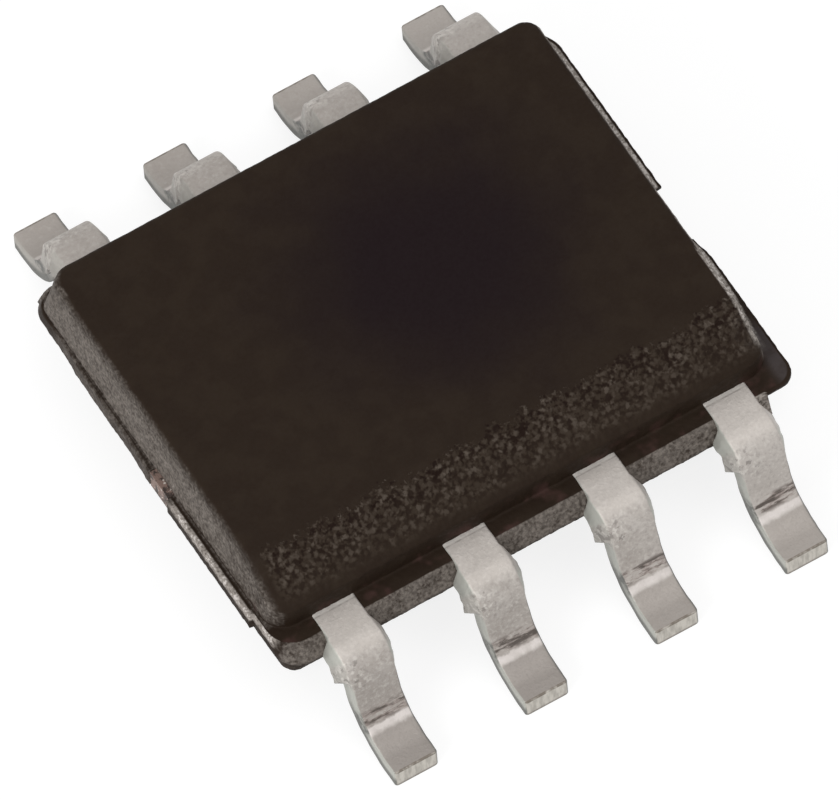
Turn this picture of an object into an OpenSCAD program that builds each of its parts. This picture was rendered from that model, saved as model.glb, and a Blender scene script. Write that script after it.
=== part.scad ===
// Power transistor in an eight-lead small-outline package, millimetres.
// X runs along the lead rows, -Y is the bevelled side with leads 1 to 4,
// Z is up and the board surface is z = 0.

/* [Moulded body] */
// Length of the body at its parting planes
body_length = 4.86; // [4.7:0.01:5.1]
// Width of the body at its parting planes
body_width = 3.8; // [3.7:0.01:4]
// Height of the top face above the board
overall_height = 1.57; // [1.55:0.01:1.75]
// Gap between the underside of the body and the board
standoff = 0.15; // [0.05:0.01:0.25]
// Draft of the mould walls in degrees
draft_angle = 7.5; // [4:0.5:10]
// Radius of the upright corners at the parting planes
corner_radius = 0.2; // [0.16:0.01:0.3]
// Sideways mismatch of the upper mould half
mould_shift = -0.04; // [-0.06:0.01:0.06]
// Width of the bevel along leads 1 to 4, measured in from the parting plane
bevel_run = 0.45; // [0.3:0.01:0.5]
// Height that the bevel drops from the top face
bevel_drop = 0.33; // [0.2:0.01:0.4]

/* [Flash web at the parting plane] */
// Reach of the web past the body between the leads, at its upper edge
web_side = 0.17; // [0.08:0.01:0.2]
// Further reach of the web's sheared lower edge between the leads
web_flare = 0.075; // [0.02:0.005:0.1]
// Reach of the web past the body at the two ends
web_end = 0.09; // [0.04:0.01:0.15]
// Thickness of the thin film of flash around the right end
web_film = 0.05; // [0.03:0.01:0.1]
// Distance past the last lead at which the full web stops, at the right end
web_stop = 0.1; // [0.08:0.01:0.25]
// Radius of the web's corners
web_corner = 0.16; // [0.1:0.01:0.25]
// Width of the notch in each end of the web, around the tie bar
notch_width = 0.58; // [0.4:0.01:0.8]

/* [Leads] */
// Distance between the leads of a row
lead_pitch = 1.27; // [1.2:0.01:1.3]
// Thickness of the lead frame
lead_thickness = 0.21; // [0.15:0.01:0.25]
// Height of the leads' upper face above the board where they leave the body
lead_height = 1.04; // [0.9:0.01:1.1]
// Width of a lead where it leaves the body
exit_width = 0.38; // [0.3:0.01:0.4]
// Width of the sheared stub of the dam bar on each lead
stub_width = 0.48; // [0.44:0.01:0.54]
// Length of the flat shoulder between the web and the first bend
shoulder_flat = 0.085; // [0.04:0.005:0.12]
// Width of the leg and the foot
foot_width = 0.42; // [0.33:0.01:0.44]
// Length of the flat part of the foot
foot_length = 0.1; // [0.06:0.01:0.4]
// Lean of the leg away from upright in degrees
leg_angle = 13; // [8:0.5:24]
// Inside radius of the bend at the shoulder
shoulder_radius = 0.09; // [0.05:0.01:0.12]
// Inside radius of the bend at the heel
heel_radius = 0.42; // [0.08:0.01:0.5]

/* [Paddle and bond bar] */
// Moulding between the die paddle and the rear wall
paddle_rear_cover = 0.65; // [0.55:0.01:0.8]
// Width of the tie bars that held the paddle in its frame
tie_width = 0.3; // [0.2:0.01:0.35]
// Place of the tie bars across the body
tie_y = -0.1; // [-0.3:0.01:0.3]
// Length of cut tie bar that stands out of each end wall
tie_stub = 0.07; // [0.02:0.01:0.09]
// Moulding between the bond bar and the front wall
bar_cover = 0.28; // [0.22:0.01:0.34]
// Depth of the bond bar and of the gate bond pad
bar_depth = 0.42; // [0.36:0.01:0.46]
// Gap between the bond bar and the paddle
bar_gap = 0.35; // [0.25:0.01:0.4]
// Gap between the bond bar and the gate bond pad
pad_gap = 0.22; // [0.15:0.01:0.25]

/* [Die and bond wires] */
// Rim of bare paddle at each end of the silicon die
die_end_rim = 0.65; // [0.55:0.01:0.75]
// Rim of bare paddle along each side of the silicon die
die_side_rim = 0.17; // [0.12:0.01:0.25]
// Thickness of the silicon die
die_thickness = 0.18; // [0.12:0.01:0.2]
// Thickness of the solder under the die
solder_thickness = 0.025; // [0.02:0.005:0.04]
// Width of the solder border around the die
solder_border = 0.05; // [0.02:0.01:0.06]
// Number of source wires
source_wires = 4; // [2:1:4]
// Distance of the first source wire from the end of the die
wire_edge = 0.14; // [0.1:0.01:0.25]
// Diameter of a source wire
source_wire_d = 0.1; // [0.075:0.005:0.12]
// Diameter of the gate wire
gate_wire_d = 0.05; // [0.038:0.002:0.06]
// Distance of the source bonds from the front edge of the die
source_inset = 0.55; // [0.45:0.01:0.7]
// Distance of the gate bond from the front and right edges of the die
gate_inset = 0.22; // [0.18:0.01:0.25]
// Length of a wire's flattened foot, in wire diameters
foot_diameters = 2; // [1.5:0.1:2.5]
// Width of a wire's flattened foot, in wire diameters
foot_widening = 1.5; // [1.3:0.1:1.8]
// Rise of a wire from the die in degrees
wire_rise = 15; // [10:1:18]
// Fall of a wire to the lead frame in degrees
wire_fall = 35; // [30:1:40]
// Radius of a wire's bends beside its feet
wire_bend = 0.15; // [0.1:0.01:0.18]
// Radius of a wire's loop at its crest
wire_crest = 0.4; // [0.3:0.01:0.45]

/* [Hidden] */
$fn = 48;
// Spare length of a cutting solid past the face that it cuts
past = 0.5;
// Straight steps in each bend of a lead
bend_steps = 14;
// Room between a round wire and the rim of its foot's face
foot_rim = 0.01;
// How far a wire's straight runs enter its bends, and how much finer they are there
run_lap = 0.01;
run_step = 0.001;
// Leads in each of the two rows
leads_per_row = 4;

function lead_x(i) = (i - (leads_per_row - 1) / 2) * lead_pitch;

half_length = body_length / 2;
half_width = body_width / 2;
row_end_x = lead_x(leads_per_row - 1) + exit_width / 2;
lead_under = lead_height - lead_thickness;
upper_height = overall_height - lead_height;
lower_height = lead_under - standoff;

web_half_length = half_length + web_end;
web_half_width = half_width + web_side;
bevel_top_y = -(half_width - bevel_run);
bevel_low_z = overall_height - bevel_drop;
bevel_low_y = -(half_width - (bevel_low_z - lead_height) * tan(draft_angle));

// The bent lead, from the lower edge of the web, where the dam bar's stub starts, to the tip
stub_y = web_half_width + web_flare;
shoulder_y = stub_y + shoulder_flat;
bend_sum = shoulder_radius + heel_radius + lead_thickness;
leg_drop = lead_under - bend_sum * (1 - sin(leg_angle));
heel_y = shoulder_y + bend_sum * cos(leg_angle) + leg_drop * tan(leg_angle);
tip_y = heel_y + foot_length;
shoulder_centre = [shoulder_y, lead_under - shoulder_radius];
heel_centre = [heel_y, lead_thickness + heel_radius];

// The flat lead frame inside the body
bar_out_y = half_width - bar_cover;
bar_in_y = bar_out_y - bar_depth;
bar_mid_y = bar_out_y - bar_depth / 2;
// The bond bar spans all leads of its row but the last, which has the gate pad
bar_right_x = lead_x(leads_per_row - 2) + exit_width / 2;
// The paddle is as long as the row of leads that it is one piece with
paddle_half_length = row_end_x;
paddle_front_y = -(bar_in_y - bar_gap);
paddle_back_y = half_width - paddle_rear_cover;
paddle_mid_y = (paddle_front_y + paddle_back_y) / 2;
tie_end = half_length + tie_stub;

// The die on its paddle, and where the wires meet it
die_half_length = paddle_half_length - die_end_rim;
die_half_width = paddle_back_y - paddle_mid_y - die_side_rim;
die_z = lead_height + solder_thickness;
die_top = die_z + die_thickness;
die_front_y = paddle_mid_y - die_half_width;
source_bond_y = die_front_y + source_inset;
gate_bond_y = die_front_y + gate_inset;
gate_bond_x = die_half_length - gate_inset;
// The source wires spread evenly to both sides of the middle of leads 1 to 3
source_mid_x = -lead_pitch / 2;
source_spread = die_half_length + source_mid_x - wire_edge;
wire_pitch = 2 * source_spread / (source_wires - 1);

SOURCE_WIRES = [for (i = [1:source_wires]) str("source_wire_", i)];

mould_colour = "#2e2622";
tin_colour = "#b4aca5";
silicon_colour = "#5b6470";
solder_colour = "#8d9094";
wire_colour = "#cdd0d4";

function arc(centre, radius, from, to) = [
  for (i = [0:bend_steps])
    let (a = from + (to - from) * i / bend_steps)
      centre + radius * [cos(a), sin(a)]
];

// The four faces of a lead's two bends, in Y and Z
shoulder_outer = arc(shoulder_centre, shoulder_radius + lead_thickness, 90, leg_angle);
shoulder_inner = arc(shoulder_centre, shoulder_radius, leg_angle, 90);
heel_upper = arc(heel_centre, heel_radius, 180 + leg_angle, 270);
heel_lower = arc(heel_centre, heel_radius + lead_thickness, 270, 180 + leg_angle);

// An upright prism over an outline drawn in Y and Z, centred on x = 0
module across(width) {
  rotate([90, 0, 90])
    linear_extrude(height = width, center = true)
      children();
}

// A rounded block whose walls lean in as they rise from z = 0
module drafted_block(height) {
  lean = height * tan(draft_angle);
  hull()
    for (sx = [-1, 1], sy = [-1, 1])
      translate([sx * (half_length - corner_radius), sy * (half_width - corner_radius), 0])
        cylinder(r1 = corner_radius, r2 = corner_radius - lean, h = height);
}

// A flat rounded plate with its lower face at z = 0
module rounded_plate(half_x, half_y, radius, height) {
  hull()
    for (sx = [-1, 1], sy = [-1, 1])
      translate([sx * (half_x - radius), sy * (half_y - radius), 0])
        cylinder(r = radius, h = height);
}

module upper_half() {
  difference() {
    translate([mould_shift, 0, lead_height])
      drafted_block(upper_height);
    across(2 * (body_length + past))
      polygon([
        [bevel_top_y, overall_height],
        [bevel_low_y, bevel_low_z],
        [-half_width - past, bevel_low_z],
        [-half_width - past, overall_height + past],
        [bevel_top_y, overall_height + past]
      ]);
  }
}

module lower_half() {
  translate([0, 0, lead_under])
    mirror([0, 0, 1])
      drafted_block(lower_height);
}

// Flash of the lead frame's thickness, with edges that flare down and out
module full_web() {
  stop_x = row_end_x + web_stop;
  left_x = -web_half_length - past;
  intersection() {
    translate([0, 0, lead_under])
      rounded_plate(web_half_length, stub_y, web_corner, lead_thickness);
    translate([(stop_x + left_x) / 2, 0, 0])
      across(stop_x - left_x)
        polygon([
          [-stub_y, lead_under],
          [stub_y, lead_under],
          [web_half_width, lead_height],
          [-web_half_width, lead_height]
        ]);
  }
}

module thin_film() {
  translate([0, 0, lead_height - web_film])
    rounded_plate(web_half_length, web_half_width, web_corner, web_film);
}

module end_notches() {
  for (side = [-1, 1])
    translate([side * (half_length + past / 2), tie_y, lead_under + lead_thickness / 2])
      cube([past, notch_width, lead_thickness], center = true);
}

// The body's own layer between the parting planes, with the flash around it
module parting_layer() {
  difference() {
    union() {
      full_web();
      thin_film();
    }
    end_notches();
  }
  translate([0, 0, lead_under])
    rounded_plate(half_length, half_width, corner_radius, lead_thickness);
}

// One lead towards +Y, from inner_y inside the body to its tip
module lead(inner_y) {
  shank_end = (stub_y + shoulder_y) / 2;
  translate([-exit_width / 2, inner_y, lead_under])
    cube([exit_width, shank_end - inner_y, lead_thickness]);
  across(stub_width)
    polygon(concat([[stub_y, lead_height]], shoulder_outer, shoulder_inner, [[stub_y, lead_under]]));
  across(foot_width)
    polygon(concat(
      shoulder_outer, heel_upper, [[tip_y, lead_thickness], [tip_y, 0]], heel_lower, shoulder_inner
    ));
}

// A flat piece of the lead frame inside the body
module frame_bar(x0, x1, y0, y1) {
  translate([x0, y0, lead_under])
    cube([x1 - x0, y1 - y0, lead_thickness]);
}

module drain_frame() {
  color(tin_colour) {
    for (i = [0:leads_per_row - 1])
      translate([lead_x(i), 0, 0])
        lead(paddle_mid_y);
    frame_bar(-paddle_half_length, paddle_half_length, paddle_front_y, paddle_back_y);
    frame_bar(-tie_end, tie_end, tie_y - tie_width / 2, tie_y + tie_width / 2);
  }
}

module source_frame() {
  color(tin_colour)
    mirror([0, 1, 0]) {
      for (i = [0:leads_per_row - 2])
        translate([lead_x(i), 0, 0])
          lead(bar_mid_y);
      frame_bar(-row_end_x, bar_right_x, bar_in_y, bar_out_y);
    }
}

module gate_lead() {
  last_x = lead_x(leads_per_row - 1);
  color(tin_colour)
    mirror([0, 1, 0]) {
      translate([last_x, 0, 0])
        lead(bar_mid_y);
      frame_bar(bar_right_x + pad_gap, row_end_x, bar_in_y, bar_out_y);
    }
}

module die_solder() {
  half_x = die_half_length + solder_border;
  half_y = die_half_width + solder_border;
  color(solder_colour)
    translate([-half_x, paddle_mid_y - half_y, lead_height])
      cube([2 * half_x, 2 * half_y, solder_thickness]);
}

module silicon_die() {
  color(silicon_colour)
    translate([-die_half_length, die_front_y, die_z])
      cube([2 * die_half_length, 2 * die_half_width, die_thickness]);
}

// Round wire bent upwards from the local X axis, in the local XY plane
module wire_bend_up(d, radius, angle) {
  translate([0, radius, 0])
    rotate([0, 0, -90])
      rotate_extrude(angle = angle)
        translate([radius, 0])
          circle(d = d);
}

// Round wire bent downwards from the local X axis
module wire_bend_down(d, radius, angle) {
  translate([0, -radius, 0])
    rotate([0, 0, 90 - angle])
      rotate_extrude(angle = angle)
        translate([radius, 0])
          circle(d = d);
}

module wire_run(d, length) {
  translate([-run_lap, 0, 0])
    rotate([0, 90, 0])
      cylinder(d = d - 2 * run_step, h = length + 2 * run_lap);
}

// The flattened foot of a wire, which ends just past the start of the wire's bend at x = 0
module wire_foot(d) {
  depth = d + 2 * foot_rim;
  width = foot_widening * d;
  translate([-foot_diameters * d, -depth / 2, -width / 2])
    cube([foot_diameters * d + run_lap, depth, width]);
}

// A looped wire from the die at y = from_y to the middle of the bond bar
module bond_wire(d, x, from_y) {
  foot = foot_diameters * d;
  axis_lift = d / 2 + foot_rim;
  turn = wire_rise + wire_fall;
  span = from_y + bar_mid_y - foot;
  fall = die_top - lead_height;
  bends_run = (wire_crest + wire_bend) * (sin(wire_rise) + sin(wire_fall));
  bends_fall = (wire_crest + wire_bend) * (cos(wire_rise) - cos(wire_fall));
  run_left = span - bends_run;
  fall_left = fall - bends_fall;
  rise_length = (run_left * sin(wire_fall) - fall_left * cos(wire_fall)) / sin(turn);
  fall_length = (run_left * sin(wire_rise) + fall_left * cos(wire_rise)) / sin(turn);
  translate([x, from_y - foot / 2, die_top + axis_lift])
    rotate([90, 0, -90]) {
      wire_foot(d);
      wire_bend_up(d, wire_bend, wire_rise);
      translate([wire_bend * sin(wire_rise), wire_bend * (1 - cos(wire_rise)), 0])
        rotate([0, 0, wire_rise]) {
          wire_run(d, rise_length);
          translate([rise_length, 0, 0]) {
            wire_bend_down(d, wire_crest, turn);
            translate([wire_crest * sin(turn), -wire_crest * (1 - cos(turn)), 0])
              rotate([0, 0, -turn]) {
                wire_run(d, fall_length);
                translate([fall_length, 0, 0]) {
                  wire_bend_up(d, wire_bend, wire_fall);
                  translate([wire_bend * sin(wire_fall), wire_bend * (1 - cos(wire_fall)), 0])
                    rotate([0, 0, wire_fall])
                      mirror([1, 0, 0])
                        wire_foot(d);
                }
              }
          }
        }
    }
}

module source_wire(i) {
  color(wire_colour)
    bond_wire(source_wire_d, source_mid_x - source_spread + (i - 1) * wire_pitch, source_bond_y);
}

module gate_wire() {
  color(wire_colour)
    bond_wire(gate_wire_d, gate_bond_x, gate_bond_y);
}

module mould_body() {
  color(mould_colour)
    difference() {
      union() {
        upper_half();
        lower_half();
        parting_layer();
      }
      drain_frame();
      source_frame();
      gate_lead();
      die_solder();
      silicon_die();
      gate_wire();
      for (i = [1:source_wires])
        source_wire(i);
    }
}

mould_body();
drain_frame();
source_frame();
gate_lead();
silicon_die();
die_solder();
gate_wire();
for (i = [1:source_wires])
  source_wire(i);
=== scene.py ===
"""Looks of an eight-lead power transistor: a grained dark moulding with matte tin leads."""
import math
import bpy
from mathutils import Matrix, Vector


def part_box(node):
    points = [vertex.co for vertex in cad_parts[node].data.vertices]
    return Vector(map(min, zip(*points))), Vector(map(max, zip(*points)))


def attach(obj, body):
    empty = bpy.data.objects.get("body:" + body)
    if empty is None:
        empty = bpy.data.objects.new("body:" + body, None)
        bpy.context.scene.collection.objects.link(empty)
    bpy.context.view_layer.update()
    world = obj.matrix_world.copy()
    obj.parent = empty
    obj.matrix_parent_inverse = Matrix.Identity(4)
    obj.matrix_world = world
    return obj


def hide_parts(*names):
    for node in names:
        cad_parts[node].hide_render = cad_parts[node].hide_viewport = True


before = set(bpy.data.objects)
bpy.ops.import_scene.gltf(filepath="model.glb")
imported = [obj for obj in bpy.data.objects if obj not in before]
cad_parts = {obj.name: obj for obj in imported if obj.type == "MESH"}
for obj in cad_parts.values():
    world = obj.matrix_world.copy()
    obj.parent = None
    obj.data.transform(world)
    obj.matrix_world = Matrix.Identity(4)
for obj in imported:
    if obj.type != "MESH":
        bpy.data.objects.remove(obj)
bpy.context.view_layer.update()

from types import SimpleNamespace

import bpy
import numpy as np
from mathutils import Matrix, Vector, noise

# Sizes, in millimetres. X runs along the rows of leads, -Y is the bevelled side, Z is up.
MM = 0.001


def box_mm(node):
    return [np.array(corner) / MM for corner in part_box(node)]


BODY_LOW, BODY_HIGH = box_mm("mould_body")
GATE_LOW, GATE_HIGH = box_mm("gate_lead")
DRAIN_LOW, DRAIN_HIGH = box_mm("drain_frame")

TOP = BODY_HIGH[2]
BOTTOM = BODY_LOW[2]
WEB_END = BODY_HIGH[0]
WEB_FLARED = BODY_HIGH[1]
LEAD_TOP = GATE_HIGH[2]
TIP = DRAIN_HIGH[1]

# The moulded body
WEB_REACH_END = 0.09
WEB_REACH_SIDE = 0.17
WEB_FLARE = 0.075
WEB_FILM = 0.05
WEB_STOP = 0.1
WEB_RADII = (0.25, 0.16, 0.3, 0.24)
WEB_FRONT_MORE = 0.022
WEB_LEFT_BULGE = 0.034
WEB_LEFT_REAR_TRIM = 0.024
WEB_LEFT_STEP_Y = -1.6
BULGE_RISE = (-0.5, 0.2)
TRIM_RISE = (1.0, 1.7)
WEB_EDGE = 0.02
WEB_SUNK = 0.012
HALF_LENGTH = WEB_END - WEB_REACH_END
HALF_WIDTH = WEB_FLARED - WEB_FLARE - WEB_REACH_SIDE
DRAFT = math.tan(math.radians(7.5))
CORNER = 0.22
REAR_LEFT_FOOT_CORNER, REAR_LEFT_TOP_CORNER = 0.09, 0.18
MOULD_SHIFT = -0.04
TOP_EDGE = 0.05
REAR_OUT = 0.058
FRONT_IN = 0.025
BOTTOM_EDGE = 0.05
BEVEL_DROP = 0.33
BEVEL_TOP_LEFT = -1.43
BEVEL_TOP_RIGHT = -1.45
BEVEL_CORNER = 0.08
BEVEL_TILT = 0.01
NOTCH_WIDTH = 0.58
NOTCH_SHIFT = -0.045
FILM_TAPER = 0.25
FILM_START = 0.5
TIE_Y = -0.1
TIE_WIDTH = 0.3
TIE_TRIM = 0.045
TIE_LEFT_OUT = 0.035

# The leads
LEAD_THICKNESS = 0.21
EXIT_WIDTH = 0.41
STUB_WIDTH = 0.48
FOOT_WIDTH = 0.42
FOOT_LENGTH = 0.1
SHOULDER_FLAT = 0.085
LEG_LEAN = math.radians(13)
SHOULDER_RADIUS = 0.09
HEEL_RADIUS = 0.42
LEADS_PER_ROW = 4
LAST_LEAD_X = GATE_HIGH[0] - STUB_WIDTH / 2
PITCH = 2 * LAST_LEAD_X / (LEADS_PER_ROW - 1)
LEAD_X = [(i - (LEADS_PER_ROW - 1) / 2) * PITCH for i in range(LEADS_PER_ROW)]
ROW_END = LAST_LEAD_X + EXIT_WIDTH / 2
LEAD_UNDER = LEAD_TOP - LEAD_THICKNESS
# For each row: its spread, how far its tips reach beyond, and the shifts of stubs and feet along X
FRONT_LEADS = (-0.01, 0.045, 0.002, 0.018)
REAR_LEADS = (0.05, 0.0, 0.015, 0.02)
BAR_DEPTH = 0.42
BAR_COVER = 0.28
PADDLE_REAR_COVER = 0.65


def clamp01(value):
    return np.clip(value, 0.0, 1.0)


def ease(low, high, value):
    """0 below low, 1 above high and a smooth climb between them."""
    share = clamp01((value - low) / (high - low))
    return share * share * (3 - 2 * share)


LUMP_ROUGHNESS, LUMP_OCTAVES, OCTAVE_STEP = 0.9, 3, 2.0


def lumps(points, size):
    """Soft noise from -1 to 1 at each point, with lumps of about that size."""
    return np.array([noise.fractal(Vector(p), LUMP_ROUGHNESS, OCTAVE_STEP, LUMP_OCTAVES)
                     for p in points / size])


def mesh_piece(name, points, faces, sharp_angle=None):
    """A piece of the object from points in millimetres, shaded smooth."""
    mesh = bpy.data.meshes.new(name)
    mesh.from_pydata((np.asarray(points) * MM).tolist(), [], faces)
    mesh.shade_smooth()
    if sharp_angle is not None:
        mesh.set_sharp_from_angle(angle=sharp_angle)
    piece = bpy.data.objects.new(name, mesh)
    bpy.context.scene.collection.objects.link(piece)
    return piece


def attribute(piece, name, values):
    """Stores one number per point, which the piece's material reads."""
    layer = piece.data.attributes.new(name, "FLOAT", "POINT")
    layer.data.foreach_set("value", np.asarray(values, np.float32))


def loft(rings):
    """Faces that join each closed ring of points to the next, with the first and last ring capped."""
    count, size = len(rings), len(rings[0])
    faces = []
    for r in range(count - 1):
        for i in range(size):
            j = (i + 1) % size
            faces.append((r * size + i, (r + 1) * size + i, (r + 1) * size + j, r * size + j))
    faces.append(tuple(range(size)))
    faces.append(tuple(range(count * size - 1, (count - 1) * size - 1, -1)))
    return faces


# The moulded body: rings around it from the middle of its top face to the middle of its underside
FRONT_STEPS, RIGHT_STEPS, REAR_STEPS, LEFT_STEPS, CORNER_STEPS = 360, 110, 110, 220, 12
MARK_STEP = 0.0015


def side_steps(count, marks):
    """Even shares of a side, with a close pair at each mark."""
    even = np.linspace(0, 1, count, endpoint=False)
    marks = [mark for mark in marks if 0 < mark < 1]
    far = [share for share in even if all(abs(share - mark) > 2 * MARK_STEP for mark in marks)]
    return np.sort(far + [mark + step for mark in marks for step in (-MARK_STEP, MARK_STEP)])


def web_share(value, low, high):
    return (value - low) / (high - low)


STOP_X = ROW_END + WEB_STOP
WEB_TOP_Y = WEB_FLARED - WEB_FLARE
NOTCH_EDGES = (TIE_Y + NOTCH_SHIFT - NOTCH_WIDTH / 2, TIE_Y + NOTCH_SHIFT + NOTCH_WIDTH / 2)
LEFT_NOTCH_EDGES = (TIE_Y - TIE_WIDTH / 2, TIE_Y + TIE_WIDTH / 2)
FRONT_SHARES = side_steps(
    FRONT_STEPS, [web_share(STOP_X, -WEB_END + WEB_RADII[0], WEB_END - WEB_RADII[1])])
RIGHT_SHARES = side_steps(
    RIGHT_STEPS, [web_share(y, -WEB_TOP_Y + WEB_RADII[1], WEB_TOP_Y - WEB_RADII[2]) for y in NOTCH_EDGES])
REAR_SHARES = side_steps(
    REAR_STEPS, [web_share(STOP_X, WEB_END - WEB_RADII[2], -WEB_END + WEB_RADII[3])])
LEFT_SHARES = side_steps(
    LEFT_STEPS, [web_share(y, WEB_TOP_Y - WEB_RADII[3], -WEB_TOP_Y + WEB_RADII[0])
                 for y in (*LEFT_NOTCH_EDGES, WEB_LEFT_STEP_Y)])
CORNER_SHARES = np.linspace(0, 1, CORNER_STEPS, endpoint=False)


def straight(start, end, shares):
    return np.array(start) + np.outer(shares, np.array(end) - np.array(start))


def round_corner(centre, radius, first_degrees):
    angles = np.radians(first_degrees + 90 * CORNER_SHARES)
    return np.array(centre) + radius * np.stack([np.cos(angles), np.sin(angles)], axis=1)


def outline(left, right, front_left, front_right, rear, radii):
    """A rounded rectangle seen from above, from the left end of its front side around to it again."""
    fl, fr, rr, rl = radii
    return np.concatenate([
        straight((left + fl, front_left), (right - fr, front_right), FRONT_SHARES),
        round_corner((right - fr, front_right + fr), fr, -90),
        straight((right, front_right + fr), (right, rear - rr), RIGHT_SHARES),
        round_corner((right - rr, rear - rr), rr, 0),
        straight((right - rr, rear), (left + rl, rear), REAR_SHARES),
        round_corner((left + rl, rear - rl), rl, 90),
        straight((left, rear - rl), (left, front_left + fl), LEFT_SHARES),
        round_corner((left + fl, front_left + fl), fl, 180),
    ])


def at_height(flat, z):
    return np.column_stack([flat, np.broadcast_to(z, len(flat))])


BEVEL_LOW = TOP - BEVEL_DROP
BEVEL_FOOT = -(HALF_WIDTH - (BEVEL_LOW - LEAD_TOP) * DRAFT)


def upper_ring(z, round_in=0.0):
    """The upper half of the moulding at a height, with its bevelled front."""
    inset = (z - LEAD_TOP) * DRAFT + round_in
    share = clamp01((z - BEVEL_LOW) / BEVEL_DROP)
    wall = -HALF_WIDTH + inset + FRONT_IN * clamp01((BEVEL_LOW - z) / (BEVEL_LOW - LEAD_TOP))
    front = [
        BEVEL_FOOT + (top - BEVEL_FOOT) * share + round_in if share > 0 else wall
        for top in (BEVEL_TOP_LEFT, BEVEL_TOP_RIGHT)
    ]
    rear_corner = CORNER - inset
    front_corner = rear_corner + (BEVEL_CORNER - rear_corner) * share
    climb = clamp01((z - LEAD_TOP) / (TOP - LEAD_TOP))
    left_growth = REAR_LEFT_TOP_CORNER - REAR_LEFT_FOOT_CORNER
    left_corner = REAR_LEFT_FOOT_CORNER + left_growth * climb - round_in
    radii = (front_corner, front_corner, rear_corner, left_corner)
    flat = outline(
        -HALF_LENGTH + MOULD_SHIFT + inset, HALF_LENGTH + MOULD_SHIFT - inset, *front,
        HALF_WIDTH + REAR_OUT - inset, radii)
    return at_height(flat, z)


def lower_ring(z, round_in=0.0):
    """The lower half of the moulding at a height."""
    inset = (LEAD_UNDER - z) * DRAFT + round_in
    radius = CORNER - inset
    return at_height(
        outline(-HALF_LENGTH + inset, HALF_LENGTH - inset, -HALF_WIDTH + inset, -HALF_WIDTH + inset,
                HALF_WIDTH - inset, (radius,) * 4), z)


def web_ring(drop, pull_in=0.0):
    """The flash web at a share of its thickness below its upper face."""
    flat = outline(-WEB_END + pull_in, WEB_END - pull_in, -WEB_TOP_Y + pull_in, -WEB_TOP_Y + pull_in,
                   WEB_TOP_Y - pull_in, WEB_RADII)
    film = flat[:, 0] > STOP_X
    along_side = np.abs(flat[:, 1]) > WEB_TOP_Y - CORNER
    flare = WEB_FLARE + np.where(flat[:, 1] < 0, WEB_FRONT_MORE, 0.0)
    flat[:, 1] += np.sign(flat[:, 1]) * np.where(along_side & ~film, flare * drop, 0.0)
    left_end = flat[:, 0] < -HALF_LENGTH
    bulge = ease(*BULGE_RISE, -flat[:, 1])
    flat[:, 0] -= WEB_LEFT_BULGE * bulge * left_end * (flat[:, 1] > WEB_LEFT_STEP_Y)
    flat[:, 0] += WEB_LEFT_REAR_TRIM * ease(*TRIM_RISE, flat[:, 1]) * left_end
    low, high = np.where(flat[:, :1] > 0, NOTCH_EDGES, LEFT_NOTCH_EDGES).T
    in_notch = (flat[:, 1] > low) & (flat[:, 1] < high)
    flat[in_notch, 0] = np.sign(flat[in_notch, 0]) * (HALF_LENGTH + WEB_SUNK)
    tapered = (flat[:, 0] > HALF_LENGTH + WEB_SUNK) & (flat[:, 1] < NOTCH_EDGES[0])
    full = ease(0.0, FILM_TAPER, NOTCH_EDGES[0] - flat[:, 1])
    spare = (1 - FILM_START) * (1 - full) * (flat[:, 0] - HALF_LENGTH - WEB_SUNK)
    flat[tapered, 0] -= spare[tapered]
    top = LEAD_TOP - WEB_SUNK
    low = np.where(film, LEAD_TOP - WEB_FILM, LEAD_UNDER + WEB_SUNK)
    return at_height(flat, top + (low - top) * drop)


def towards_middle(ring, share):
    middle = ring.mean(axis=0)
    return middle + (ring - middle) * share


# How many rings each stretch has, and their turns around an edge or shares of a face
TOP_SHARES = (0.3, 0.6, 0.8, 0.92, 0.975)
TOP_TURNS = np.radians(np.linspace(90, 15, 6))
BEVEL_RINGS, WALL_RINGS, LOWER_RINGS = 34, 10, 16
LEDGE_SHARES = np.linspace(0.06, 0.94, 9)
WEB_TURNS = np.radians(np.linspace(90, 20, 4))
WEB_ROUND = 0.12
WEB_DROPS = np.linspace(0.15, 1.0, 8)
UNDER_SHARES = (0.4, 1.0)
BOTTOM_TURNS = np.radians(np.linspace(15, 90, 5))
BOTTOM_SHARES = (0.97, 0.9, 0.7, 0.4)
UPPER_GAP, LOWER_GAP = 0.02, 0.004


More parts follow.
